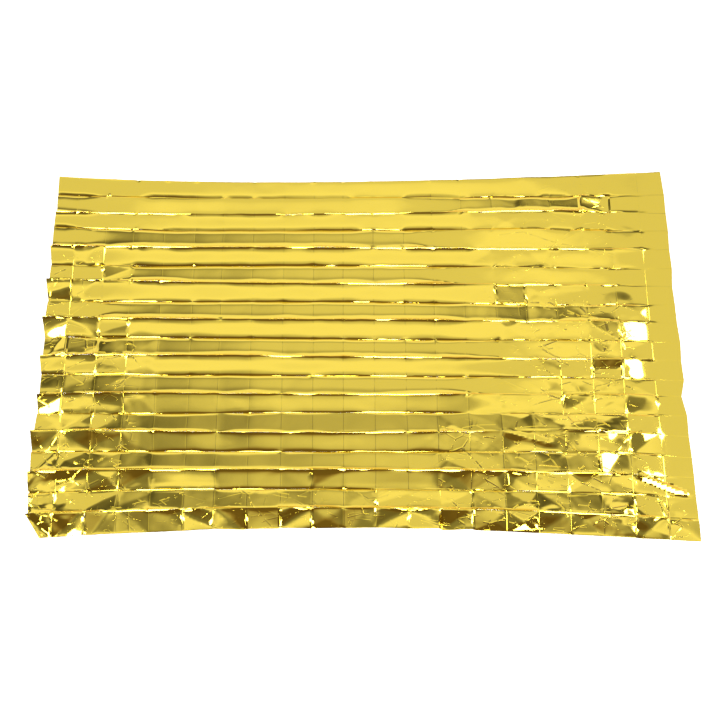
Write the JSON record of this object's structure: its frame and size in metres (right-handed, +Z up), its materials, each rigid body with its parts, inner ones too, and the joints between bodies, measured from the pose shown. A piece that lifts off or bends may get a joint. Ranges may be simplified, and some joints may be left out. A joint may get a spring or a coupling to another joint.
{
  "type": "emergency foil blanket",
  "caption": "Thin rectangular sheet of gold metallised film, laid out nearly flat with raised packet folds and cross creases, for keeping a person warm.",
  "frame": {"origin": "centre of the sheet's box, on the surface that it lies on", "axes": "+X along the sheet's length and its long folds, +Y across its width towards the edge that is farther from the viewer, +Z up, away from the surface"},
  "size_m": [2.096, 1.303, 0.0235],
  "materials": {
    "gold_film": "polished"
  },
  "bodies": {
    "root": {"foil_blanket": "gold_film"}
  },
  "joints": []
}
